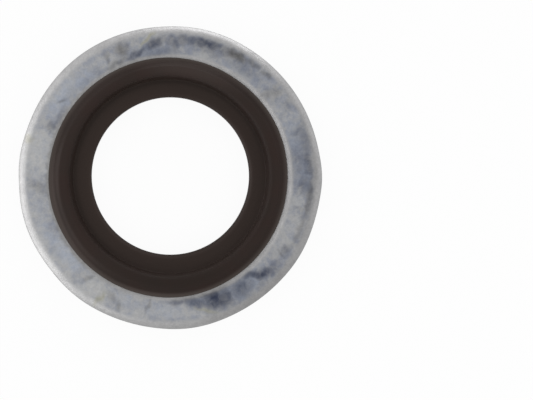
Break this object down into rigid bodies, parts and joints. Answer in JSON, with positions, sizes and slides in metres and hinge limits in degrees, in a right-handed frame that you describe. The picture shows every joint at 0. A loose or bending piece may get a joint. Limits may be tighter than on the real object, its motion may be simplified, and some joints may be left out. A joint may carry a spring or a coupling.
{
  "type": "drain plug seal ring",
  "caption": "Flat self-centring seal ring: a round zinc plated steel washer with a rubber sealing lip bonded inside it and a thin rubber web that grips a drain plug's thread.",
  "frame": {"origin": "centre of the ring, on its axis and on its middle plane", "axes": "+Z along the ring's axis, out of the face with the rolled outer edge; the ring lies flat"},
  "size_m": [0.022, 0.022, 0.0028],
  "materials": {
    "zinc_plated_steel": "dull zinc plating with cloudy grey and blue passivation",
    "seal_rubber": "smooth moulded brown black nitrile rubber"
  },
  "bodies": {
    "root": {"steel_washer": "zinc_plated_steel", "rubber_seal": "seal_rubber"}
  },
  "joints": []
}
